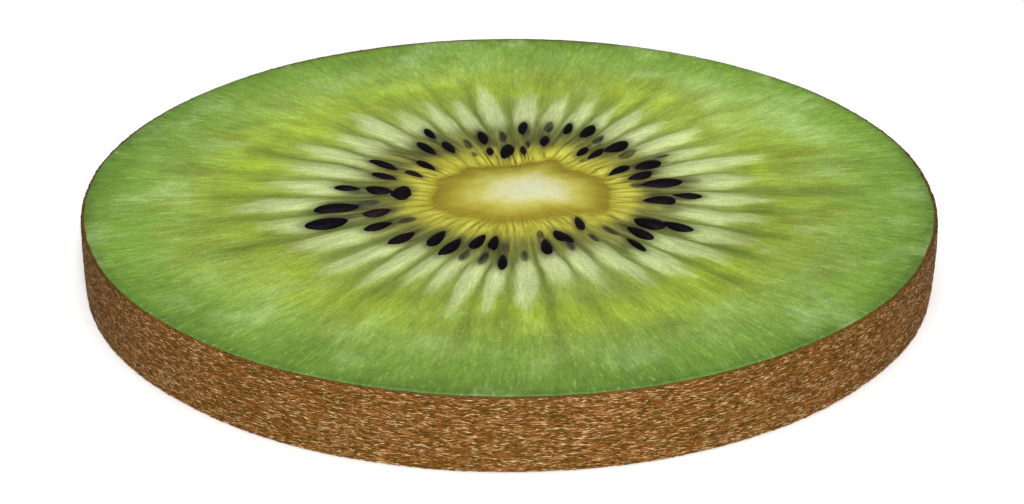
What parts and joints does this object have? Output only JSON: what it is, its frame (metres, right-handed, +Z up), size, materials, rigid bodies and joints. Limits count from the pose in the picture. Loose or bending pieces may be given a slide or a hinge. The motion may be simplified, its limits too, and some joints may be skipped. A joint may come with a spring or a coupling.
{
  "type": "kiwi slice",
  "caption": "Round slice of green kiwi fruit with its brown skin on the side: pale core, ring of black seeds and radiating chambers on the cut face; it lies on its flat lower cut.",
  "frame": {"origin": "centre of the lower cut face, which the slice lies on", "axes": "+Z up, through the slice from the lower cut face to the upper one; +Y towards the far side of the picture, +X to its right"},
  "size_m": [0.052, 0.052, 0.0048],
  "materials": {
    "flesh": "moist translucent green fruit flesh, with pale rays and darker chamber walls",
    "core": "moist cream-white core with a golden edge",
    "seed": "smooth black seed with a faint purple cast",
    "skin": "matt brown fruit skin with short fuzz"
  },
  "bodies": {
    "root": {"kiwi_slice": "flesh"}
  },
  "joints": []
}
